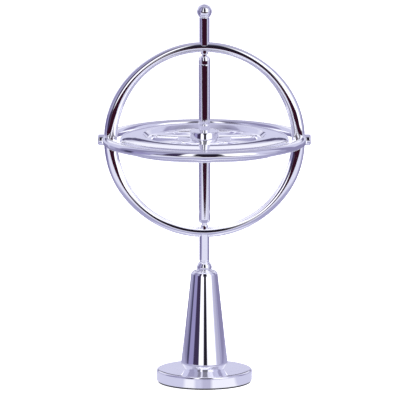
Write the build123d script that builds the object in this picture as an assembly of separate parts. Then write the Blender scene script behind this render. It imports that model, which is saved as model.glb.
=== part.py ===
from build123d import *
import os
from math import cos, sin, radians, sqrt

# A desk gyroscope on its stand, in millimetres, +Z up.
# The origin is the centre of the stand's underside, on the surface that it rests on.
# The vertical ring lies in the XZ plane; the guard ring and the flywheel are level.

# ---------------------------------------------------------------- driving sizes
plate_radius = 15.5            # round foot of the stand
plate_top = 4.15
plate_edge_round = 0.55        # upper edge of the foot
plate_lower_round = 0.25
pad_thickness = 0.5            # rubber pad under the foot
pad_radius = 15.2

cone_foot_radius = 6.3         # the pillar touches the foot here, under its widest edge
cone_wide_radius = 7.6
cone_wide_height = 5.9
cone_waist_radius = 5.88
cone_waist_height = 21.2
cone_neck_radius = 4.38
cone_neck_height = 35.0
cone_top_radius = 3.5
cone_top = 36.6

cup_radius = 3.0               # hard cup pressed in the pillar's top
cup_floor = 31.0
cup_lip = 36.9

ball_radius = 2.4              # both end balls
ball_centre = 37.75            # lower ball, in the cup
ball_reach = 42.1              # from the gyroscope's centre to either ball's centre
gyro_centre = ball_centre + ball_reach

stem_radius = 1.65
ring_radius = 30.45            # centreline of the vertical ring
ring_half_width = 1.55         # half its thickness along Y, all the way round
ring_pole_half = 1.72          # half its radial thickness at the top and the bottom
ring_side_half = 2.2           # half its radial thickness at the left and the right
ring_round_from = 60.0         # degrees from the side where the thickening starts
ring_round_to = 15.0           # and where it is complete

guard_radius = 31.9            # centreline of the level guard ring
guard_half = 1.5

pin_shank_radius = 0.6
pin_head_radius = 1.75
pin_head_end = 34.55
pin_head_round = 0.5
pin_shank_end = 29.2

axle_radius = 1.9
axle_half_length = 27.3
axle_end_taper = 0.3
axle_taper_length = 1.1
cap_length = 2.5               # upper pivot's cap, which ends the axle
string_hole_radius = 0.75
string_hole_depth = 23.8       # below the gyroscope's centre
string_sink = 0.15             # countersink at each mouth

pivot_radius = 0.8
pivot_reach = 28.1             # where the pivot's cylinder ends and its point begins
pivot_point = 0.7
bearing_radius = 1.25
bearing_seat = 29.6            # depth of the bearing's pocket in the ring
thread_radius = 0.9
stem_seat = 31.1               # depth of the stem's pocket in the ring
thread_meet = 30.35            # bearing screw and stem meet here inside the ring

rotor_radius = 27.55           # the rim is widest a little below the web's middle plane
rim_widest = -0.3              # heights of the rim are measured from that plane
rim_inner_radius = 20.0        # where the recess in each face starts
rim_inner_top = 1.75
rim_crown_radius = 23.2        # the upper face is gently crowned
rim_crown_top = 1.6
rim_brow_radius = 26.1         # and turns down into the side here
rim_brow_top = 1.13
rim_side_radius = 27.2
rim_side_top = 0.62
rim_lower_radius = 26.85       # the side leans in to the lower edge's rounding
rim_lower_height = -2.5
rim_lower_round_radius = 26.6
rim_lower_round_height = -3.0
rim_bottom_radius = 26.0
rim_bottom = -3.2
recess_web_radius = 18.7       # the recess slopes down to the web
web_half = 0.5
window_inner = 8.6
window_outer = 17.2
window_count = 6
window_half_angle = 21.0
window_corner = 1.3
hub_radius = 4.85
hub_top_radius = 4.57          # the bush tapers above the web
hub_corner = 0.25
hub_half = 2.87

screw_radius = 1.5             # M3 screw that holds the pillar to the foot
screw_head_radius = 2.75
screw_head_height = 1.7
screw_tip = 16.0
screw_socket_radius = 1.25
screw_socket_depth = 0.9
washer_radius = 3.1
washer_thickness = 0.5
recess_radius = 3.4
recess_top = 2.9

close_gap = 0.02               # between pieces that are pressed or screwed together
running_gap = 0.04             # between pieces that turn in each other


# ---------------------------------------------------------------- small helpers
def rod(radius, low, high):
    """Upright cylinder on the main axis between two heights."""
    return Pos(0, 0, (low + high) / 2) * Cylinder(radius, high - low)


def rod_from_centre(radius, near, far, side):
    """Upright cylinder measured from the gyroscope's centre, above it (1) or below it (-1)."""
    low, high = sorted((gyro_centre + side * near, gyro_centre + side * far))
    return rod(radius, low, high)


def bar(radius, low, high, height):
    """Level cylinder along X between two places, at one height."""
    return Pos((low + high) / 2, 0, height) * Rot(0, 90, 0) * Cylinder(radius, high - low)


def sphere(radius, height):
    return Pos(0, 0, height) * Sphere(radius)


def turned(*outline):
    """Solid of revolution about Z from edges that close with the axis."""
    return revolve(make_face(outline), Axis.Z)


def in_plane(*points):
    """Straight outline through (radius, height) points."""
    return Polyline(*[(r, 0, z) for r, z in points])


def guard_torus(half):
    """Solid ring along the guard ring's centreline, its seams turned away from the cross holes."""
    section = Pos(guard_radius, 0, 0) * Rot(90, 0, 0) * Rot(0, 0, 90) * Circle(half)
    return Pos(0, 0, gyro_centre) * Rot(0, 0, 45) * revolve(section, Axis.Z)


def save(shape, node):
    export_step(shape, "parts/" + node + ".step")


# ---------------------------------------------------------------- stand
def foot_pad():
    return rod(pad_radius, 0, pad_thickness)


def base_plate():
    plate = rod(plate_radius, pad_thickness, plate_top)
    rims = plate.edges().filter_by(GeomType.CIRCLE).sort_by(Axis.Z)
    plate = fillet(rims[-1], plate_edge_round)
    rims = plate.edges().filter_by(GeomType.CIRCLE).sort_by(Axis.Z)
    plate = fillet(rims[0], plate_lower_round)
    plate -= rod(recess_radius, pad_thickness, recess_top)
    plate -= rod(screw_radius + close_gap, recess_top, plate_top)
    return plate


def stand_screw():
    head_low = recess_top - washer_thickness - screw_head_height
    head_high = recess_top - washer_thickness
    screw = rod(screw_head_radius, head_low, head_high) + rod(screw_radius, head_high, screw_tip)
    socket = Pos(0, 0, head_low) * extrude(RegularPolygon(screw_socket_radius, 6), screw_socket_depth)
    return screw - socket


def screw_washer():
    low = recess_top - washer_thickness
    return rod(washer_radius, low, recess_top) - rod(screw_radius + close_gap, low, recess_top)


def stand_cone():
    neck = (cone_neck_radius, 0, cone_neck_height)
    top = (cone_top_radius, 0, cone_top)
    flank = ThreePointArc(
        (cone_wide_radius, 0, cone_wide_height), (cone_waist_radius, 0, cone_waist_height), neck
    )
    shoulder = TangentArc(neck, top, tangent=flank % 1)
    foot = in_plane((0, plate_top), (cone_foot_radius, plate_top), (cone_wide_radius, cone_wide_height))
    crown = in_plane((cone_top_radius, cone_top), (0, cone_top), (0, plate_top))
    cone = turned(foot, flank, shoulder, crown)
    cone -= rod(screw_radius + close_gap, plate_top, screw_tip + 1)
    cone -= rod(cup_radius + running_gap, cup_floor, cone_top)
    return cone


def cup_insert():
    cup = rod(cup_radius, cup_floor, cup_lip)
    lip = cup.edges().filter_by(GeomType.CIRCLE).sort_by(Axis.Z)[-1]
    cup = fillet(lip, 0.3)
    return cup - sphere(ball_radius + running_gap, ball_centre)


# ---------------------------------------------------------------- frame
def bottom_ball():
    return sphere(ball_radius, ball_centre)


def bottom_stem():
    stem = rod(stem_radius, ball_centre, gyro_centre - stem_seat)
    stem += rod(thread_radius, gyro_centre - stem_seat, gyro_centre - thread_meet)
    return stem - sphere(ball_radius + running_gap, ball_centre)


def top_stem():
    ball_height = gyro_centre + ball_reach
    stem = rod(stem_radius, gyro_centre + stem_seat, ball_height)
    stem -= sphere(ball_radius + close_gap, ball_height)
    stem += rod(thread_radius, gyro_centre + thread_meet, gyro_centre + stem_seat)
    stem += rod(pivot_radius, gyro_centre + stem_seat, ball_height)
    return stem


def top_ball():
    ball_height = gyro_centre + ball_reach
    spigot_hole = rod(pivot_radius + close_gap, gyro_centre + stem_seat, ball_height)
    return sphere(ball_radius, ball_height) - spigot_hole


def ring_section(angle):
    """Oval section of the vertical ring, at an angle in degrees up from +X."""
    toward_side = (ring_round_from - abs(angle)) / (ring_round_from - ring_round_to)
    toward_side = min(max(toward_side, 0), 1)
    swell = toward_side * toward_side * (3 - 2 * toward_side)
    radial_half = ring_pole_half + (ring_side_half - ring_pole_half) * swell
    radial = Vector(cos(radians(angle)), 0, sin(radians(angle)))
    along = Vector(-sin(radians(angle)), 0, cos(radians(angle)))
    centre = Vector(0, 0, gyro_centre) + radial * ring_radius
    return Plane(origin=centre, x_dir=radial, z_dir=along) * Ellipse(radial_half, ring_half_width)


def vertical_ring():
    sections = [ring_section(angle) for angle in range(-90, 91, 15)]
    level = Plane(origin=(0, 0, gyro_centre), x_dir=(1, 0, 0), z_dir=(0, -1, 0))
    path = level * CenterArc((0, 0), ring_radius, -90, 180)
    right_half = sweep(sections, path=path, multisection=True)
    ring = right_half + mirror(right_half, Plane.YZ)
    for side in (1, -1):
        ring -= rod_from_centre(bearing_radius + close_gap, bearing_seat - 2, bearing_seat, side)
        ring -= rod_from_centre(thread_radius + close_gap, bearing_seat, stem_seat, side)
        ring -= rod_from_centre(stem_radius + close_gap, stem_seat, stem_seat + 2, side)
        pin_low, pin_high = sorted((side * pin_shank_end, side * guard_radius))
        ring -= bar(pin_shank_radius + close_gap, pin_low, pin_high, gyro_centre)
    return ring - guard_torus(guard_half + close_gap)


def horizontal_ring():
    reach = guard_radius + guard_half + 1
    return guard_torus(guard_half) - bar(pin_shank_radius + close_gap, -reach, reach, gyro_centre)


def ring_pin(side):
    """Pin that holds the guard ring in the vertical ring's saddle, at +X (1) or -X (-1)."""
    ring_outside = ring_radius + ring_side_half + close_gap
    shank = bar(pin_shank_radius, pin_shank_end, guard_radius + guard_half, gyro_centre)
    head = bar(pin_head_radius, ring_outside, pin_head_end, gyro_centre)
    head = fillet(head.edges().filter_by(GeomType.CIRCLE).sort_by(Axis.X)[-1], pin_head_round)
    pin = shank + (head - guard_torus(guard_half + close_gap))
    return pin if side > 0 else mirror(pin, Plane.YZ)


def bearing_screw(side):
    """Cupped screw in the ring's pole that carries one pivot."""
    screw = rod_from_centre(bearing_radius, pivot_reach, bearing_seat, side)
    screw += rod_from_centre(thread_radius, bearing_seat, thread_meet, side)
    mouth = pivot_radius + running_gap
    point = pivot_point + running_gap
    pocket = Pos(0, 0, gyro_centre + side * (pivot_reach + point / 2)) * Cone(
        mouth if side > 0 else 0, 0 if side > 0 else mouth, point
    )
    return screw - pocket


# ---------------------------------------------------------------- flywheel
def window(angle):
    """One opening of the flywheel's web, with rounded corners, centred on an angle in degrees."""
    ring = Circle(window_outer) - Circle(window_inner)
    reach = 2 * window_outer
    tip = reach * sin(radians(window_half_angle)) / cos(radians(window_half_angle))
    wedge = make_face(Polyline((0, 0), (reach, -tip), (reach, tip), (0, 0)))
    shape = ring & wedge
    shape = fillet(shape.vertices(), window_corner)
    return Rot(0, 0, angle) * Pos(0, 0, -2 * web_half) * extrude(shape, 4 * web_half)


def flywheel():
    brow = (rim_brow_radius, 0, rim_brow_top)
    widest = (rotor_radius, 0, rim_widest)
    lower = (rim_lower_radius, 0, rim_lower_height)
    bottom = (rim_bottom_radius, 0, rim_bottom)
    inside = in_plane(
        (rim_bottom_radius, rim_bottom), (rim_inner_radius, rim_bottom), (recess_web_radius, -web_half),
        (hub_radius + close_gap, -web_half), (hub_radius + close_gap, web_half),
        (recess_web_radius, web_half), (rim_inner_radius, rim_inner_top)
    )
    crown = ThreePointArc((rim_inner_radius, 0, rim_inner_top), (rim_crown_radius, 0, rim_crown_top), brow)
    shoulder = ThreePointArc(brow, (rim_side_radius, 0, rim_side_top), widest)
    side = Line(widest, lower)
    lower_round = ThreePointArc(lower, (rim_lower_round_radius, 0, rim_lower_round_height), bottom)
    wheel = turned(inside, crown, shoulder, side, lower_round)
    for step in range(window_count):
        wheel -= window(step * 360 / window_count)
    return Pos(0, 0, gyro_centre) * wheel


def hub_bush():
    """Bush between the web and the axle, straight up to the web's top and tapered above it."""
    bore = axle_radius + close_gap / 2
    bush = turned(in_plane(
        (bore, -hub_half), (hub_radius - hub_corner, -hub_half), (hub_radius, hub_corner - hub_half),
        (hub_radius, web_half), (hub_top_radius, hub_half - hub_corner),
        (hub_top_radius - hub_corner, hub_half), (bore, hub_half), (bore, -hub_half)
    ))
    return Pos(0, 0, gyro_centre) * bush


def axle():
    low = gyro_centre - axle_half_length
    high = gyro_centre + axle_half_length - cap_length
    shaft = turned(in_plane(
        (0, low), (axle_radius - axle_end_taper, low), (axle_radius, low + axle_taper_length),
        (axle_radius, high), (0, high), (0, low)
    ))
    shaft -= rod(pivot_radius + close_gap, low, low + 1.6)
    shaft -= rod(pivot_radius + close_gap, high - 3, high)
    hole_height = gyro_centre - string_hole_depth
    shaft -= bar(string_hole_radius, -2 * axle_radius, 2 * axle_radius, hole_height)
    for side in (1, -1):
        mouth = Cone(string_hole_radius, string_hole_radius + 2 * string_sink, 2 * string_sink)
        shaft -= Pos(side * axle_radius, 0, hole_height) * Rot(0, side * 90, 0) * mouth
    return shaft


def upper_pivot():
    """Cap that ends the axle, with a spigot below and the pivot's point above."""
    low = gyro_centre + axle_half_length - cap_length
    high = gyro_centre + axle_half_length
    tip = gyro_centre + pivot_reach
    return turned(in_plane(
        (0, low - 3), (pivot_radius, low - 3), (pivot_radius, low), (axle_radius, low),
        (axle_radius, high - axle_taper_length), (axle_radius - axle_end_taper, high),
        (pivot_radius, high), (pivot_radius, tip), (0, tip + pivot_point), (0, low - 3)
    ))


def lower_pivot():
    """Pin in the axle's lower end, with the pivot's point below."""
    tip = gyro_centre - pivot_reach
    high = gyro_centre - axle_half_length + 1.5
    return turned(in_plane(
        (0, tip - pivot_point), (pivot_radius, tip), (pivot_radius, high), (0, high), (0, tip - pivot_point)
    ))


# ---------------------------------------------------------------- write one file for each piece
os.makedirs("parts", exist_ok=True)

pieces = {
    "foot_pad": foot_pad(),
    "base_plate": base_plate(),
    "stand_screw": stand_screw(),
    "screw_washer": screw_washer(),
    "stand_cone": stand_cone(),
    "cup_insert": cup_insert(),
    "bottom_ball": bottom_ball(),
    "bottom_stem": bottom_stem(),
    "vertical_ring": vertical_ring(),
    "horizontal_ring": horizontal_ring(),
    "right_ring_pin": ring_pin(1),
    "left_ring_pin": ring_pin(-1),
    "upper_bearing_screw": bearing_screw(1),
    "lower_bearing_screw": bearing_screw(-1),
    "top_stem": top_stem(),
    "top_ball": top_ball(),
    "flywheel": flywheel(),
    "hub_bush": hub_bush(),
    "axle": axle(),
    "upper_pivot": upper_pivot(),
    "lower_pivot": lower_pivot(),
}
for node, shape in pieces.items():
    save(shape, node)
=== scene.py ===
import math

import bmesh
import bpy
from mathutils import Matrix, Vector


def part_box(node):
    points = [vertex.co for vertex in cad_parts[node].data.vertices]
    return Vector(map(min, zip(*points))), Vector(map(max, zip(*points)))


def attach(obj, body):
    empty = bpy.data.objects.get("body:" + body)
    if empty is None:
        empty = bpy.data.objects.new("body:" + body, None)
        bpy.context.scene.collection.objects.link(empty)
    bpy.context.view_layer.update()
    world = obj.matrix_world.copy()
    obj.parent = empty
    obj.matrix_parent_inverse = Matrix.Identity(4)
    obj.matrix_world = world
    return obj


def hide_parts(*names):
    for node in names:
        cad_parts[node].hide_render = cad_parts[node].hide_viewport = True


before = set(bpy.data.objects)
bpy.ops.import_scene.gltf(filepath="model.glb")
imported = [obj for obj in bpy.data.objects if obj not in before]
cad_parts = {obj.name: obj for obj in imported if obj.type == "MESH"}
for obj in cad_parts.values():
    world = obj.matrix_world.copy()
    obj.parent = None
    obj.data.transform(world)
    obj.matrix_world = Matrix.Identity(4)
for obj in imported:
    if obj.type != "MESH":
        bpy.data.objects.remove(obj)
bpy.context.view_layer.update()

# A polished desk gyroscope on its stand, in metres. Its axle is the Z axis, the vertical ring
# lies in the XZ plane, and the camera looks along +Y. Sizes are read from the CAD nodes' boxes.

MM = 0.001
TURN = 2 * math.pi


# ---------------------------------------------------------------- sizes, from the frame
def low(node):
    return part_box(node)[0]


def high(node):
    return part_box(node)[1]


def middle(node):
    return (low(node) + high(node)) / 2


CENTRE = middle("hub_bush").z                       # the gyroscope's centre
PLATE_R = high("base_plate").x
PLATE_LOW, PLATE_TOP = low("base_plate").z, high("base_plate").z
PAD_R = high("foot_pad").x
CONE_WIDE = high("stand_cone").x
CONE_TOP = high("stand_cone").z
CUP_R = high("cup_insert").x
CUP_LIP = high("cup_insert").z
BALL_R = high("bottom_ball").x
BALL_LOW_Z = middle("bottom_ball").z
BALL_HIGH_Z = high("top_ball").z - BALL_R
STEM_R = high("bottom_stem").x
GUARD_HALF = (high("horizontal_ring").z - low("horizontal_ring").z) / 2
GUARD_R = high("horizontal_ring").y - GUARD_HALF
RING_WIDTH = high("vertical_ring").y
RING_POLE_OUT = high("vertical_ring").z - CENTRE
PIN_END = high("right_ring_pin").x
PIN_HEAD_R = high("right_ring_pin").z - CENTRE
ROTOR_R = high("flywheel").x
RIM_TOP = high("flywheel").z - CENTRE
RIM_BOTTOM = low("flywheel").z - CENTRE
HUB_R = high("hub_bush").x
HUB_HALF = high("hub_bush").z - CENTRE
AXLE_R = high("axle").x
AXLE_LOW = low("axle").z
BEARING_R = high("upper_bearing_screw").x
BEARING_FACE = low("upper_bearing_screw").z - CENTRE
PIVOT_R = high("lower_pivot").x

# Sizes that no box gives. They follow the CAD model, apart from the height where the pillar is
# widest, which is 0.3 mm up from its sharp edge there to leave room for a rounded one.
PILLAR_FOOT_R, PILLAR_WIDE_Z = 6.3 * MM, 6.2 * MM   # where the pillar meets the foot, and is widest
CUP_FLOOR = 31 * MM
SCREW_HOLE_R = 1.6 * MM
CLEARANCE = 0.04 * MM
STEM_SEAT = 31.1 * MM                               # from the centre to a stem's end in the ring
NECK_STEP = 0.12 * MM                               # the stem is this much thinner next to its ball
RING_LINE = 30.45 * MM                              # the vertical ring's centreline
WEB_R, WEB_HALF = 18.7 * MM, 0.5 * MM
RECESS_R = 20.0 * MM
WINDOW_IN, WINDOW_OUT = 8.6 * MM, 17.2 * MM
HUB_TAPER = 0.28 * MM
HOLE_R, HOLE_DEPTH = 0.75 * MM, 23.8 * MM           # the string hole, below the centre
CAP_TOP = 27.3 * MM
PIVOT_REACH, PIVOT_POINT = 28.1 * MM, 0.7 * MM


# ---------------------------------------------------------------- mesh helpers
def link(name, mesh, body, replaced, material):
    """Makes the object for a mesh and hangs it on its CAD body."""
    piece = bpy.data.objects.new(name, mesh)
    bpy.context.scene.collection.objects.link(piece)
    mesh.materials.append(material)
    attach(piece, body)
    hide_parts(*replaced)
    return piece


def mesh_from(name, points, faces):
    mesh = bpy.data.meshes.new(name)
    mesh.from_pydata(points, [], faces)
    mesh.validate()
    for polygon in mesh.polygons:
        polygon.use_smooth = True
    return mesh


def arc(cx, cz, radius, start, end, steps):
    """Points of an arc in the (radius, height) plane, angles in degrees."""
    return [
        (cx + radius * math.cos(math.radians(start + (end - start) * i / steps)),
         cz + radius * math.sin(math.radians(start + (end - start) * i / steps)))
        for i in range(steps + 1)
    ]


def smooth_through(points, steps):
    """Catmull-Rom curve through (radius, height) points."""
    padded = [points[0]] + list(points) + [points[-1]]
    out = []
    for i in range(1, len(padded) - 2):
        p0, p1, p2, p3 = padded[i - 1:i + 3]
        for step in range(steps):
            t = step / steps
            out.append(tuple(
                0.5 * (2 * b + (c - a) * t + (2 * a - 5 * b + 4 * c - d) * t * t
                       + (3 * b - a - 3 * c + d) * t * t * t)
                for a, b, c, d in zip(p0, p1, p2, p3)
            ))
    out.append(points[-1])
    return out


def densify(outline, longest):
    """Adds points so that no step of the outline is longer than this."""
    out = [outline[0]]
    for (r0, z0), (r1, z1) in zip(outline, outline[1:]):
        steps = max(1, math.ceil(math.hypot(r1 - r0, z1 - z0) / longest))
        out += [(r0 + (r1 - r0) * i / steps, z0 + (z1 - z0) * i / steps) for i in range(1, steps + 1)]
    return out


def lathe(name, outline, around=160, closed=False):
    """Turns a (radius, height) outline about Z. Points on the axis become one vertex each.
    A closed outline goes round a section that doesn't touch the axis."""
    points, rows = [], []
    for r, z in outline:
        if r < 1e-7:
            rows.append([len(points)])
            points.append((0, 0, z))
        else:
            rows.append(list(range(len(points), len(points) + around)))
            points += [(r * math.cos(TURN * i / around), r * math.sin(TURN * i / around), z)
                       for i in range(around)]
    faces = []
    pairs = list(zip(rows, rows[1:] + rows[:1])) if closed else list(zip(rows, rows[1:]))
    for a, b in pairs:
        for i in range(around):
            j = (i + 1) % around
            if len(a) == 1 and len(b) > 1:
                faces.append((a[0], b[j], b[i]))
            elif len(b) == 1 and len(a) > 1:
                faces.append((a[i], a[j], b[0]))
            elif len(a) > 1:
                faces.append((a[i], a[j], b[j], b[i]))
    return mesh_from(name, points, faces)


def turn_outward(mesh):
    """Makes every face of a closed mesh point outward."""
    work = bmesh.new()
    work.from_mesh(mesh)
    bmesh.ops.recalc_face_normals(work, faces=work.faces)
    work.to_mesh(mesh)
    work.free()
    return mesh


def round_corner(corner, before, after, radius, steps=6):
    """Replaces a corner of an outline by an arc that touches both of its sides."""
    c, a, b = Vector(corner), Vector(before), Vector(after)
    u, v = (a - c).normalized(), (b - c).normalized()
    half = u.angle(v) / 2
    centre = c + (u + v).normalized() * radius / math.sin(half)
    start, end = c + u * radius / math.tan(half), c + v * radius / math.tan(half)
    s, e = start - centre, end - centre
    turn = s.angle_signed(e)
    out = []
    for i in range(steps + 1):
        angle = -turn * i / steps
        out.append((centre.x + s.x * math.cos(angle) - s.y * math.sin(angle),
                    centre.y + s.x * math.sin(angle) + s.y * math.cos(angle)))
    return out


def rounded(outline, radii, steps=6):
    """An open outline with the inner corners rounded by the given radii (0 keeps a corner)."""
    out = [outline[0]]
    for i in range(1, len(outline) - 1):
        radius = radii[i - 1]
        if radius > 0:
            out += round_corner(outline[i], outline[i - 1], outline[i + 1], radius, steps)
        else:
            out.append(outline[i])
    out.append(outline[-1])
    return out


def edges_sharp(mesh, angle=40):
    """Keeps crisp shading at corners steeper than this, in degrees."""
    mesh.set_sharp_from_angle(angle=math.radians(angle))
    return mesh


# ---------------------------------------------------------------- materials
def new_material(name):
    material = bpy.data.materials.new(name)
    material.use_nodes = True
    tree = material.node_tree
    return material, tree, tree.nodes["Principled BSDF"]


def add(tree, kind, **values):
    node = tree.nodes.new(kind)
    for key, value in values.items():
        if key.startswith("in_"):
            node.inputs[key[3:].replace("_", " ")].default_value = value
        else:
            setattr(node, key, value)
    return node


def ramp(tree, source, stops, interpolation="LINEAR"):
    node = add(tree, "ShaderNodeValToRGB")
    node.color_ramp.interpolation = interpolation
    elements = node.color_ramp.elements
    while len(elements) < len(stops):
        elements.new(0.5)
    for element, (place, colour) in zip(elements, stops):
        element.position = place
        element.color = (*colour, 1)
    tree.links.new(source, node.inputs["Fac"])
    return node


def chrome(name, colour, cloudy, smooth_roughness, rough_roughness, grain, lathe_lines):
    """Bright metal: faint clouding of the tint, smears in the roughness, and either a fine
    orange-peel ripple or turning lines round the axle for the bump."""
    material, tree, shader = new_material(name)
    shader.inputs["Metallic"].default_value = 1.0
    place = add(tree, "ShaderNodeTexCoord")
    smear = add(tree, "ShaderNodeTexNoise", in_Scale=grain, in_Detail=5.0, in_Roughness=0.55)
    tree.links.new(place.outputs["Object"], smear.inputs["Vector"])
    tint = ramp(tree, smear.outputs["Fac"], [(0.3, colour), (0.75, cloudy)])
    tree.links.new(tint.outputs["Color"], shader.inputs["Base Color"])
    rough = add(tree, "ShaderNodeMapRange")
    rough.inputs["From Min"].default_value = 0.3
    rough.inputs["From Max"].default_value = 0.75
    rough.inputs["To Min"].default_value = smooth_roughness
    rough.inputs["To Max"].default_value = rough_roughness
    tree.links.new(smear.outputs["Fac"], rough.inputs["Value"])
    tree.links.new(rough.outputs["Result"], shader.inputs["Roughness"])
    bump = add(tree, "ShaderNodeBump")
    if lathe_lines:
        squeeze = add(tree, "ShaderNodeMapping")
        squeeze.inputs["Scale"].default_value = (60, 60, 9000)
        tree.links.new(place.outputs["Object"], squeeze.inputs["Vector"])
        lines = add(tree, "ShaderNodeTexNoise", in_Scale=1.0, in_Detail=2.0)
        tree.links.new(squeeze.outputs["Vector"], lines.inputs["Vector"])
        tree.links.new(lines.outputs["Fac"], bump.inputs["Height"])
        bump.inputs["Strength"].default_value = 0.10
        bump.inputs["Distance"].default_value = 0.00001
    else:
        peel = add(tree, "ShaderNodeTexNoise", in_Scale=700.0, in_Detail=2.0)
        tree.links.new(place.outputs["Object"], peel.inputs["Vector"])
        tree.links.new(peel.outputs["Fac"], bump.inputs["Height"])
        bump.inputs["Strength"].default_value = 0.05
        bump.inputs["Distance"].default_value = 0.00002
    tree.links.new(bump.outputs["Normal"], shader.inputs["Normal"])
    return material


def rubber():
    material, tree, shader = new_material("rubber")
    place = add(tree, "ShaderNodeTexCoord")
    speck = add(tree, "ShaderNodeTexNoise", in_Scale=2500.0, in_Detail=3.0)
    tree.links.new(place.outputs["Object"], speck.inputs["Vector"])
    tint = ramp(tree, speck.outputs["Fac"], [(0.35, (0.008, 0.008, 0.009)), (0.7, (0.022, 0.021, 0.023))])
    tree.links.new(tint.outputs["Color"], shader.inputs["Base Color"])
    shader.inputs["Roughness"].default_value = 0.85
    bump = add(tree, "ShaderNodeBump")
    bump.inputs["Strength"].default_value = 0.4
    bump.inputs["Distance"].default_value = 0.00005
    tree.links.new(speck.outputs["Fac"], bump.inputs["Height"])
    tree.links.new(bump.outputs["Normal"], shader.inputs["Normal"])
    return material


def zinc():
    material, tree, shader = new_material("zinc_steel")
    shader.inputs["Metallic"].default_value = 1.0
    place = add(tree, "ShaderNodeTexCoord")
    spangle = add(tree, "ShaderNodeTexNoise", in_Scale=1500.0, in_Detail=4.0)
    tree.links.new(place.outputs["Object"], spangle.inputs["Vector"])
    tint = ramp(tree, spangle.outputs["Fac"], [(0.3, (0.50, 0.51, 0.53)), (0.7, (0.66, 0.67, 0.69))])
    tree.links.new(tint.outputs["Color"], shader.inputs["Base Color"])
    shader.inputs["Roughness"].default_value = 0.38
    bump = add(tree, "ShaderNodeBump")
    bump.inputs["Strength"].default_value = 0.2
    bump.inputs["Distance"].default_value = 0.00003
    tree.links.new(spangle.outputs["Fac"], bump.inputs["Height"])
    tree.links.new(bump.outputs["Normal"], shader.inputs["Normal"])
    return material


PLATED = chrome("plated_chrome", (0.90, 0.90, 0.95), (0.86, 0.86, 0.92), 0.025, 0.06, 90.0, False)
TURNED = chrome("turned_chrome", (0.89, 0.89, 0.94), (0.85, 0.85, 0.91), 0.03, 0.07, 120.0, True)
RUBBER = rubber()
ZINC = zinc()


# ---------------------------------------------------------------- stand
def foot_pad():
    top = PLATE_LOW
    outline = rounded(
        [(0, 0), (PAD_R - 0.1 * MM, 0), (PAD_R, top), (0, top)], [0.12 * MM, 0]
    )
    mesh = edges_sharp(turn_outward(lathe("rubber_foot", outline, 192)))
    return link("rubber_foot", mesh, "stand", ["foot_pad"], RUBBER)


def plate():
    hole_r, recess_r, recess_top = 1.55 * MM, 3.4 * MM, 2.9 * MM
    outline = rounded(
        [(hole_r, PLATE_TOP), (PLATE_R, PLATE_TOP), (PLATE_R, PLATE_LOW), (recess_r, PLATE_LOW),
         (recess_r, recess_top), (hole_r, recess_top)],
        [0.55 * MM, 0.25 * MM, 0.1 * MM, 0], 8
    )
    outline = densify(outline, 1.2 * MM)
    mesh = edges_sharp(turn_outward(lathe("foot_plate", outline, 256, closed=True)), 50)
    return link("foot_plate", mesh, "stand", ["base_plate"], PLATED)


def pillar():
    flank = smooth_through(
        [(CONE_WIDE, PILLAR_WIDE_Z), (6.72 * MM, 13.7 * MM), (5.88 * MM, 21.2 * MM), (5.11 * MM, 28.2 * MM),
         (4.38 * MM, 35.0 * MM), (4.2 * MM, 35.8 * MM), (3.9 * MM, 36.35 * MM), (3.5 * MM, CONE_TOP)], 8
    )
    bore, edge = CUP_R + CLEARANCE, 0.25 * MM
    foot = [(SCREW_HOLE_R, PLATE_TOP), (PILLAR_FOOT_R, PLATE_TOP)]
    foot += arc(CONE_WIDE - edge, PILLAR_WIDE_Z, edge, -45, 0, 4)[:-1]
    inside = [(bore, CONE_TOP), (bore, CUP_FLOOR), (SCREW_HOLE_R, CUP_FLOOR)]
    outline = densify(foot + flank + inside, 0.8 * MM)
    mesh = edges_sharp(turn_outward(lathe("pillar", outline, 192, closed=True)), 32)
    return link("pillar", mesh, "stand", ["stand_cone"], PLATED)


def cup():
    seat_r = BALL_R + CLEARANCE
    seat_edge = math.degrees(math.asin((CUP_LIP - BALL_LOW_Z) / seat_r))
    outline = rounded([(0, CUP_FLOOR), (CUP_R, CUP_FLOOR), (CUP_R, CUP_LIP),
                       (seat_r * math.cos(math.radians(seat_edge)) + 0.05 * MM, CUP_LIP)],
                      [0.15 * MM, 0.3 * MM])
    outline += arc(0, BALL_LOW_Z, seat_r, seat_edge, -90, 16)
    outline[-1] = (0, outline[-1][1])
    mesh = edges_sharp(turn_outward(lathe("ball_cup", outline, 128)))
    return link("ball_cup", mesh, "seat", ["cup_insert"], PLATED)


# ---------------------------------------------------------------- frame
def ball(name, height, body, node):
    outline = arc(0, height, BALL_R, -90, 90, 48)
    outline[0], outline[-1] = (0, outline[0][1]), (0, outline[-1][1])
    mesh = turn_outward(lathe(name, outline, 96))
    return link(name, mesh, body, [node], TURNED)


def stem(name, near_ball, near_ring, node):
    """Round stem with a tiny neck ring next to its ball."""
    up = 1 if near_ball > near_ring else -1
    span = abs(near_ball - near_ring)
    outline = [(0, 0), (STEM_R, 0), (STEM_R, span - 0.5 * MM), (STEM_R - NECK_STEP, span - 0.35 * MM),
               (STEM_R - NECK_STEP, span), (0, span)]
    outline = densify(rounded(outline, [0, 0.05 * MM, 0.05 * MM, 0]), 0.5 * MM)
    outline = [(r, near_ring + up * z) for r, z in outline]
    mesh = edges_sharp(turn_outward(lathe(name, outline, 96)))
    return link(name, mesh, "frame", [node], TURNED)


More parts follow.
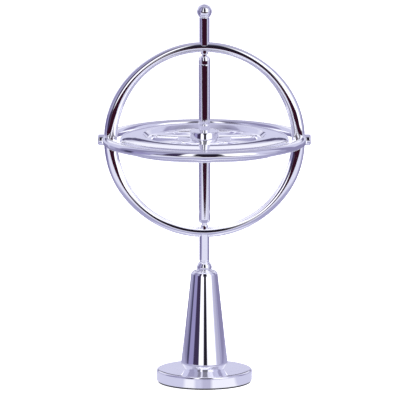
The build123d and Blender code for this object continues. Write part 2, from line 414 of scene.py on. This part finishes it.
def vertical_ring():
    """Elliptical section swept round the centre, thicker at the sides than at the poles."""
    pole_half = RING_POLE_OUT - RING_LINE
    side_half = high("vertical_ring").x - RING_LINE
    around, across = 384, 72
    points, faces = [], []
    for i in range(around):
        angle = TURN * i / around
        from_side = math.degrees(math.asin(abs(math.sin(angle))))
        t = min(max((60 - from_side) / 45, 0), 1)
        half = pole_half + (side_half - pole_half) * t * t * (3 - 2 * t)
        for j in range(across):
            c, s = math.cos(TURN * j / across), math.sin(TURN * j / across)
            r = RING_LINE + half * c
            points.append((r * math.cos(angle), RING_WIDTH * s, CENTRE + r * math.sin(angle)))
    for i in range(around):
        for j in range(across):
            a, b = i * across, ((i + 1) % around) * across
            k = (j + 1) % across
            faces.append((a + j, a + k, b + k, b + j))
    mesh = turn_outward(mesh_from("meridian_ring", points, faces))
    return link("meridian_ring", mesh, "frame", ["vertical_ring"], PLATED)


def guard_ring():
    outline = arc(GUARD_R, CENTRE, GUARD_HALF, 0, 360, 56)[:-1]
    mesh = turn_outward(lathe("guard_ring", outline, 384, closed=True))
    return link("guard_ring", mesh, "frame", ["horizontal_ring"], PLATED)


def ring_pin(name, side, node):
    length = PIN_END - GUARD_R
    outline = [(0, 0), (PIN_HEAD_R, 0), (PIN_HEAD_R, length), (0, length)]
    outline = densify(rounded(outline, [0.05 * MM, 0.5 * MM], 8), 0.4 * MM)
    mesh = edges_sharp(turn_outward(lathe(name, outline, 96)))
    for vertex in mesh.vertices:
        x, y, z = vertex.co
        vertex.co = (side * (GUARD_R + z), y, CENTRE + x)
    turn_outward(mesh)
    return link(name, mesh, "frame", [node], PLATED)


def bearing(name, side, node):
    depth, end = 0.75 * MM, BEARING_FACE + 1.6 * MM
    outline = [(0, BEARING_FACE + depth), (PIVOT_R + CLEARANCE, BEARING_FACE),
               (BEARING_R - 0.05 * MM, BEARING_FACE), (BEARING_R, end), (0, end)]
    outline = densify(rounded(outline, [0.03 * MM, 0.2 * MM, 0]), 0.3 * MM)
    outline = [(r, CENTRE + side * z) for r, z in outline]
    mesh = edges_sharp(turn_outward(lathe(name, outline, 96)))
    return link(name, mesh, "frame", [node], TURNED)


# ---------------------------------------------------------------- flywheel
def curve_outline(curve, points):
    spline = curve.splines.new("POLY")
    spline.points.add(len(points) - 1)
    for point, (x, y) in zip(spline.points, points):
        point.co = (x, y, 0, 1)
    spline.use_cyclic_u = True


def window_outline(angle, inner, outer, half_angle, corner):
    """Rounded opening between two radii, centred on an angle, all in metres and radians."""
    points = []
    gap_out, gap_in = corner / outer, corner / inner
    for a0, a1, r, steps in ((-half_angle + gap_out, half_angle - gap_out, outer, 14),
                             (half_angle - gap_in, -half_angle + gap_in, inner, 8)):
        points += [(r * math.cos(a0 + (a1 - a0) * i / steps), r * math.sin(a0 + (a1 - a0) * i / steps))
                   for i in range(steps + 1)]
        end = 1 if a1 > a0 else -1
        r_next = inner if r == outer else outer
        sign = 1 if r_next > r else -1
        for i in range(1, 6):
            t = i / 6 * math.pi / 2
            rr = r + sign * corner * (1 - math.cos(t))
            aa = end * (half_angle - corner / r * (1 - math.sin(t)))
            points.append((rr * math.cos(aa), rr * math.sin(aa)))
        rr = r + sign * corner
        points.append((rr * math.cos(end * half_angle), rr * math.sin(end * half_angle)))
        rr = r_next - sign * corner
        points.append((rr * math.cos(end * half_angle), rr * math.sin(end * half_angle)))
        for i in range(1, 6):
            t = i / 6 * math.pi / 2
            rr = r_next - sign * corner * (1 - math.sin(t))
            aa = end * (half_angle - corner / r_next * (1 - math.cos(t)))
            points.append((rr * math.cos(aa), rr * math.sin(aa)))
    return [(x * math.cos(angle) - y * math.sin(angle), x * math.sin(angle) + y * math.cos(angle))
            for x, y in points]


def circle_outline(radius, steps):
    return [(radius * math.cos(TURN * i / steps), radius * math.sin(TURN * i / steps)) for i in range(steps)]


def web_mesh(outer, half, bevel):
    curve = bpy.data.curves.new("web_curve", "CURVE")
    curve.dimensions = "2D"
    curve.fill_mode = "BOTH"
    curve.extrude = half - bevel
    curve.bevel_depth = bevel
    curve.bevel_resolution = 2
    curve.offset = -bevel
    curve_outline(curve, circle_outline(outer, 192))
    curve_outline(curve, circle_outline(HUB_R - 0.3 * MM, 96))
    for step in range(6):
        angle = TURN * step / 6
        curve_outline(curve, window_outline(angle, WINDOW_IN, WINDOW_OUT, math.radians(21), 1.3 * MM))
    holder = bpy.data.objects.new("web_holder", curve)
    bpy.context.scene.collection.objects.link(holder)
    bpy.context.view_layer.update()
    graph = bpy.context.evaluated_depsgraph_get()
    mesh = bpy.data.meshes.new_from_object(holder.evaluated_get(graph))
    bpy.data.objects.remove(holder)
    bpy.data.curves.remove(curve)
    return mesh


def flywheel():
    """The crowned rim, turned in one go, and the flat web with its six openings."""
    upper = rounded([(22 * MM, RIM_TOP - 0.05 * MM), (RECESS_R, RIM_TOP), (WEB_R, WEB_HALF), (WEB_R, 0)],
                    [0.25 * MM, 0.15 * MM], 5)
    lower = rounded([(WEB_R, 0), (WEB_R, -WEB_HALF), (RECESS_R, RIM_BOTTOM), (25.9 * MM, RIM_BOTTOM)],
                    [0.15 * MM, 0.25 * MM], 5)[1:]
    edge = smooth_through(
        [(26.4 * MM, -3.1 * MM), (26.75 * MM, -2.7 * MM), (26.97 * MM, -2.0 * MM), (27.3 * MM, -1.1 * MM),
         (ROTOR_R, -0.3 * MM), (27.5 * MM, 0.15 * MM), (27.2 * MM, 0.62 * MM), (26.7 * MM, 0.92 * MM),
         (26.1 * MM, 1.13 * MM), (24.7 * MM, 1.42 * MM), (23.2 * MM, 1.6 * MM)], 6
    )
    outline = densify([(r, z + CENTRE) for r, z in upper + lower + edge], 1.0 * MM)
    rim = edges_sharp(turn_outward(lathe("flywheel_rim", outline, 384, closed=True)), 50)
    web = web_mesh(WEB_R + 0.4 * MM, WEB_HALF, 0.08 * MM)
    work = bmesh.new()
    work.from_mesh(web)
    bmesh.ops.remove_doubles(work, verts=work.verts, dist=1e-7)
    bmesh.ops.translate(work, verts=work.verts, vec=(0, 0, CENTRE))
    bmesh.ops.recalc_face_normals(work, faces=work.faces)
    work.from_mesh(rim)
    mesh = bpy.data.meshes.new("flywheel_disc")
    work.to_mesh(mesh)
    work.free()
    for polygon in mesh.polygons:
        polygon.use_smooth = True
    edges_sharp(mesh, 35)
    return link("flywheel_disc", mesh, "rotor", ["flywheel"], PLATED)


def hub():
    """Bush, straight through the web and tapered above it."""
    mouth_r, mouth = AXLE_R + 0.2 * MM, HUB_HALF - 0.15 * MM
    outline = rounded(
        [(AXLE_R, mouth), (mouth_r, HUB_HALF), (HUB_R - HUB_TAPER, HUB_HALF), (HUB_R, WEB_HALF),
         (HUB_R, -HUB_HALF), (mouth_r, -HUB_HALF), (AXLE_R, -mouth)],
        [0.04 * MM, 0.2 * MM, 0.3 * MM, 0.25 * MM, 0.04 * MM], 5
    )
    outline = densify([(r, z + CENTRE) for r, z in outline], 0.3 * MM)
    mesh = edges_sharp(turn_outward(lathe("hub_bush_visual", outline, 160, closed=True)), 50)
    return link("hub_bush_visual", mesh, "rotor", ["hub_bush"], TURNED)


def axle():
    """Shaft with the string hole drilled across it and countersunk at both mouths."""
    top = high("axle").z
    outline = rounded(
        [(0, AXLE_LOW), (AXLE_R - 0.3 * MM, AXLE_LOW), (AXLE_R, AXLE_LOW + 1.1 * MM), (AXLE_R, top),
         (0, top)],
        [0.08 * MM, 0.4 * MM, 0.08 * MM], 5
    )
    outline = densify(outline, 0.35 * MM)
    shaft = edges_sharp(turn_outward(lathe("axle_shaft", outline, 128)))
    piece = link("axle_shaft", shaft, "rotor", ["axle"], TURNED)
    straight, reach = AXLE_R - 0.15 * MM, 3 * MM
    mouth_r = HOLE_R + reach - straight
    flare = [(0, -reach), (mouth_r, -reach), (HOLE_R, -straight), (HOLE_R, straight), (mouth_r, reach),
             (0, reach)]
    drill_mesh = turn_outward(lathe("drill", flare, 64))
    for vertex in drill_mesh.vertices:
        x, y, z = vertex.co
        vertex.co = (z, y, CENTRE - HOLE_DEPTH + x)
    turn_outward(drill_mesh)
    drill = bpy.data.objects.new("drill", drill_mesh)
    bpy.context.scene.collection.objects.link(drill)
    cut = piece.modifiers.new("string_hole", "BOOLEAN")
    cut.operation = "DIFFERENCE"
    cut.solver = "EXACT"
    cut.object = drill
    bpy.context.view_layer.update()
    graph = bpy.context.evaluated_depsgraph_get()
    cut_mesh = bpy.data.meshes.new_from_object(piece.evaluated_get(graph))
    piece.modifiers.clear()
    piece.data = cut_mesh
    edges_sharp(cut_mesh, 30)
    bpy.data.objects.remove(drill)
    return piece


def upper_pivot():
    bottom = high("axle").z
    top = CENTRE + CAP_TOP
    tip = CENTRE + PIVOT_REACH
    outline = rounded(
        [(0, bottom), (AXLE_R, bottom), (AXLE_R, top - 1.1 * MM), (AXLE_R - 0.3 * MM, top), (PIVOT_R, top),
         (PIVOT_R, tip), (0, tip + PIVOT_POINT)],
        [0.1 * MM, 0.4 * MM, 0.12 * MM, 0.05 * MM, 0.02 * MM], 5
    )
    mesh = edges_sharp(turn_outward(lathe("pivot_cap", densify(outline, 0.3 * MM), 128)))
    return link("pivot_cap", mesh, "rotor", ["upper_pivot"], TURNED)


def lower_pivot():
    tip = CENTRE - PIVOT_REACH
    outline = rounded(
        [(0, tip - PIVOT_POINT), (PIVOT_R, tip), (PIVOT_R, AXLE_LOW + 0.5 * MM), (0, AXLE_LOW + 0.5 * MM)],
        [0.02 * MM, 0], 5
    )
    mesh = edges_sharp(turn_outward(lathe("pivot_pin", densify(outline, 0.3 * MM), 96)))
    return link("pivot_pin", mesh, "rotor", ["lower_pivot"], TURNED)


foot_pad()
plate()
pillar()
cup()
ball("lower_ball", BALL_LOW_Z, "ball_foot", "bottom_ball")
ball("upper_ball", BALL_HIGH_Z, "frame", "top_ball")
seat_gap = math.sqrt((BALL_R + 0.03 * MM) ** 2 - (STEM_R - NECK_STEP) ** 2)
stem("lower_stem", BALL_LOW_Z + seat_gap, CENTRE - STEM_SEAT, "bottom_stem")
stem("upper_stem", BALL_HIGH_Z - seat_gap + 0.3 * MM, CENTRE + STEM_SEAT, "top_stem")
vertical_ring()
guard_ring()
ring_pin("right_pin", 1, "right_ring_pin")
ring_pin("left_pin", -1, "left_ring_pin")
bearing("upper_bearing", 1, "upper_bearing_screw")
bearing("lower_bearing", -1, "lower_bearing_screw")
flywheel()
hub()
axle()
upper_pivot()
lower_pivot()
for node in ("stand_screw", "screw_washer"):
    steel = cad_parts[node]
    steel.data.materials.clear()
    steel.data.materials.append(ZINC)


# ---------------------------------------------------------------- studio
WHITE = (1.45, 1.45, 1.5)
PEARL = (0.68, 0.68, 0.86)
LAVENDER = (0.42, 0.41, 0.60)
DUSK = (0.29, 0.27, 0.44)
VIOLET = (0.20, 0.19, 0.34)
SHADE = (0.10, 0.09, 0.17)
MAROON = (0.034, 0.006, 0.018)
INK = (0.016, 0.013, 0.024)
PLUM = (0.05, 0.035, 0.085)
IRIS = (0.33, 0.30, 0.54)
LILAC = (0.54, 0.53, 0.70)
BRIGHT = (1.0, 1.0, 1.08)
MIST = (0.84, 0.84, 0.98)
DIM = (0.06, 0.055, 0.11)
CEILING = (0.25, 0.24, 0.33)
BLACK, CLEAR = (0, 0, 0), (1, 1, 1)
PANELS = (
    (-180, LAVENDER), (-160, PEARL), (-132, LAVENDER), (-117, DUSK), (-106, VIOLET), (-99, DIM),
    (-86, IRIS), (-58, PLUM), (-28, WHITE), (-5, INK), (15, WHITE), (61, PEARL), (68, LILAC),
    (86, LAVENDER), (102, DUSK), (138, LAVENDER),
)
HAZE = 0.15           # how much whiter the room looks in a reflection of a reflection


def bearings(tree, vector):
    """Azimuth as a share of a turn (0.5 in front, more to the right) and elevation in radians."""
    unit = add(tree, "ShaderNodeVectorMath", operation="NORMALIZE")
    tree.links.new(vector, unit.inputs[0])
    parts = add(tree, "ShaderNodeSeparateXYZ")
    tree.links.new(unit.outputs["Vector"], parts.inputs["Vector"])
    back = add(tree, "ShaderNodeMath", operation="MULTIPLY")
    back.inputs[1].default_value = -1.0
    tree.links.new(parts.outputs["Y"], back.inputs[0])
    azimuth = add(tree, "ShaderNodeMath", operation="ARCTAN2")
    tree.links.new(parts.outputs["X"], azimuth.inputs[0])
    tree.links.new(back.outputs[0], azimuth.inputs[1])
    lift = add(tree, "ShaderNodeMath", operation="ARCSINE")
    tree.links.new(parts.outputs["Z"], lift.inputs[0])
    return ramp_between(tree, azimuth.outputs[0], -math.pi, math.pi), lift.outputs[0]


def ramp_between(tree, value, start, end):
    node = add(tree, "ShaderNodeMapRange")
    node.inputs["From Min"].default_value = start
    node.inputs["From Max"].default_value = end
    tree.links.new(value, node.inputs["Value"])
    return node.outputs["Result"]


def mix(tree, factor, first, second):
    node = add(tree, "ShaderNodeMixRGB")
    tree.links.new(factor, node.inputs["Fac"])
    for name, colour in (("Color1", first), ("Color2", second)):
        if isinstance(colour, tuple):
            node.inputs[name].default_value = (*colour, 1)
        else:
            tree.links.new(colour, node.inputs[name])
    return node.outputs["Color"]


def ring_of(tree, around, colours, soft=1.5):
    """Colours round the horizon from (azimuth in degrees, colour) panel starts, blurred by soft
    degrees at each side of a start."""
    stops = []
    for i, (start, colour) in enumerate(colours):
        if i:
            stops.append(((start - soft) / 360 + 0.5, colours[i - 1][1]))
        stops.append(((start + (soft if i else 0)) / 360 + 0.5, colour))
    return ramp(tree, around, stops).outputs["Color"]


def studio_world():
    """Soft white and lavender panels round the object with dark gaps between them, a dim ceiling
    ahead, and bright bands behind. The camera itself sees a plain white room."""
    world = bpy.data.worlds.new("studio")
    bpy.context.scene.world = world
    world.use_nodes = True
    tree = world.node_tree
    tree.nodes.clear()
    place = add(tree, "ShaderNodeTexCoord")
    around, lift = bearings(tree, place.outputs["Generated"])

    panels = ring_of(tree, around, PANELS, 2.5)
    below = ring_of(tree, around, [
        (-180, SHADE), (-158, VIOLET), (-80, PEARL), (-66, MAROON), (62, PEARL), (82, VIOLET), (158, SHADE),
    ], 4)
    back_wall = ring_of(tree, around, [
        (-180, PEARL), (-110, DUSK), (-72, LAVENDER), (-47, PLUM), (-26, WHITE), (-13, INK), (23, WHITE),
        (61, PEARL),
        (96, DUSK), (120, PEARL),
    ], 2.5)

    up_ahead = ramp_between(tree, lift, math.radians(-0.9), math.radians(-0.1))
    up_beside = ramp_between(tree, lift, math.radians(-5.5), math.radians(-4.5))
    ahead = ring_of(tree, around, [(-180, BLACK), (-30, CLEAR), (30, BLACK)], 2)
    up = mix(tree, ahead, up_beside, up_ahead)
    off_horizon = ramp_between(tree, lift, math.radians(3.8), math.radians(6))
    overhead = ramp_between(tree, lift, math.radians(42), math.radians(72))
    walls = mix(tree, off_horizon, panels, back_wall)
    height = ramp_between(tree, lift, 0, math.radians(50))
    behind = ramp(tree, height, [
        (0.0, PEARL), (0.24, PEARL), (0.25, SHADE), (0.31, SHADE), (0.33, LILAC), (0.42, BRIGHT),
        (0.70, BRIGHT), (0.80, DUSK), (1.0, DUSK),
    ]).outputs["Color"]
    at_back = ring_of(tree, around, [(-180, CLEAR), (-150, BLACK), (150, CLEAR)], 8)
    walls = mix(tree, ramp_between(tree, lift, math.radians(7), math.radians(9)), walls,
                mix(tree, at_back, walls, behind))
    lower_half = mix(tree, up, below, walls)
    zenith = ramp_between(tree, lift, math.radians(64), math.radians(80))
    ceiling = ring_of(tree, around, [(-180, LILAC), (-100, CEILING), (100, LILAC)], 10)
    room = mix(tree, zenith, mix(tree, overhead, lower_half, ceiling), LILAC)
    path = add(tree, "ShaderNodeLightPath")
    again = add(tree, "ShaderNodeMapRange")
    again.inputs["From Min"].default_value = 2
    again.inputs["From Max"].default_value = 3
    again.inputs["To Max"].default_value = HAZE
    tree.links.new(path.outputs["Ray Depth"], again.inputs["Value"])
    lights = add(tree, "ShaderNodeBackground", in_Strength=1.0)
    tree.links.new(mix(tree, again.outputs["Result"], room, WHITE), lights.inputs["Color"])
    plain = add(tree, "ShaderNodeBackground", in_Strength=1.0)
    plain.inputs["Color"].default_value = (1, 1, 1, 1)
    choose = add(tree, "ShaderNodeMixShader")
    tree.links.new(path.outputs["Is Camera Ray"], choose.inputs["Fac"])
    tree.links.new(lights.outputs["Background"], choose.inputs[1])
    tree.links.new(plain.outputs["Background"], choose.inputs[2])
    output = add(tree, "ShaderNodeOutputWorld")
    tree.links.new(choose.outputs["Shader"], output.inputs["Surface"])


def floor():
    """White table top, with its front edge 0.31 m ahead of the object. In reflections it glows with
    painted light: soft bright patches near the object, mist white further ahead and painted shade
    towards the sides and back, and in a reflection of a reflection it is plain white."""
    ahead, side, behind, skew = 0.31, 0.9, 1.4, math.tan(math.radians(8))
    mesh = mesh_from("table_top", [(-side, -ahead - side * skew, 0), (side, -ahead + side * skew, 0),
                                   (side, behind, 0), (-side, behind, 0)], [(0, 1, 2, 3)])
    table = bpy.data.objects.new("table_top", mesh)
    bpy.context.scene.collection.objects.link(table)
    material, tree, shader = new_material("table_white")
    shader.inputs["Base Color"].default_value = (0.86, 0.86, 0.88, 1)
    shader.inputs["Roughness"].default_value = 0.9
    shader.inputs["Specular IOR Level"].default_value = 0.1
    shader.inputs["Emission Color"].default_value = (1, 1, 1, 1)
    shader.inputs["Emission Strength"].default_value = 0.75
    place = add(tree, "ShaderNodeTexCoord")
    around, _ = bearings(tree, place.outputs["Object"])
    # Painted light and shade, seen only by glossy rays: painted pools of light near the object, the wall
    # panels' colours far to the sides, and painted shade behind.
    sweep = ring_of(tree, around, [
        (-180, VIOLET), (-150, DUSK), (-84, LAVENDER), (-70, MIST), (75, LAVENDER), (90, DUSK), (150, VIOLET),
    ], 5)
    beside = ring_of(tree, around, [(-180, BLACK), (-135, CLEAR), (-60, BLACK), (60, CLEAR), (135, BLACK)], 2)
    walls = ring_of(tree, around, PANELS, 2.5)
    shifted = add(tree, "ShaderNodeVectorMath", operation="ADD")
    shifted.inputs[1].default_value = (0, PLATE_R / 2, 0)
    tree.links.new(place.outputs["Object"], shifted.inputs[0])
    fan, _ = bearings(tree, shifted.outputs["Vector"])
    near = ring_of(tree, fan, [
        (-180, LAVENDER), (-140, PEARL), (-48, BRIGHT), (-23, PEARL), (-6, LILAC), (17, BRIGHT), (75, PEARL),
        (140, LAVENDER),
    ], 4)
    reach = add(tree, "ShaderNodeVectorMath", operation="LENGTH")
    tree.links.new(place.outputs["Object"], reach.inputs[0])
    close = ramp_between(tree, reach.outputs["Value"], 0.04, 0.05)
    out = ramp_between(tree, reach.outputs["Value"], 0.10, 0.15)
    far = ramp_between(tree, reach.outputs["Value"], 0.15, 0.25)
    sides = add(tree, "ShaderNodeMath", operation="MULTIPLY")
    tree.links.new(beside, sides.inputs[0])
    tree.links.new(far, sides.inputs[1])
    pattern = mix(tree, out, mix(tree, close, near, LAVENDER), mix(tree, sides.outputs[0], sweep, walls))
    path = add(tree, "ShaderNodeLightPath")
    again = ramp_between(tree, path.outputs["Ray Depth"], 1, 2)
    glow = add(tree, "ShaderNodeEmission", in_Strength=1.0)
    tree.links.new(mix(tree, again, pattern, WHITE), glow.inputs["Color"])
    choose = add(tree, "ShaderNodeMixShader")
    tree.links.new(path.outputs["Is Glossy Ray"], choose.inputs["Fac"])
    tree.links.new(shader.outputs["BSDF"], choose.inputs[1])
    tree.links.new(glow.outputs["Emission"], choose.inputs[2])
    tree.links.new(choose.outputs["Shader"], tree.nodes["Material Output"].inputs["Surface"])
    mesh.materials.append(material)


def soft_light(name, place, size, power, colour):
    data = bpy.data.lights.new(name, "AREA")
    data.shape = "DISK"
    data.size = size
    data.energy = power
    data.color = colour
    light = bpy.data.objects.new(name, data)
    bpy.context.scene.collection.objects.link(light)
    light.location = place
    light.visible_glossy = False
    aim = Vector((0, 0, 0.06)) - Vector(place)
    light.rotation_euler = aim.to_track_quat("-Z", "Y").to_euler()


def camera():
    elevation = math.radians(10.0)
    lens = 800.0
    aim = Vector((-1.43 * MM, 0, 59.95 * MM))
    width = 130.0 * MM
    data = bpy.data.cameras.new("camera")
    data.sensor_width = 36.0
    data.lens = lens
    distance = width * lens / data.sensor_width
    eye = bpy.data.objects.new("camera", data)
    bpy.context.scene.collection.objects.link(eye)
    back = Vector((0, -math.cos(elevation), math.sin(elevation)))
    eye.location = aim + back * distance
    eye.rotation_euler = (-back).to_track_quat("-Z", "Y").to_euler()
    data.clip_start = 0.05
    data.clip_end = 20
    bpy.context.scene.camera = eye


studio_world()
floor()
soft_light("overhead", (0.15, -0.1, 1.1), 0.8, 9.0, (1, 0.99, 1))
camera()
bpy.context.scene.view_settings.view_transform = "Standard"
bpy.context.scene.view_settings.look = "None"
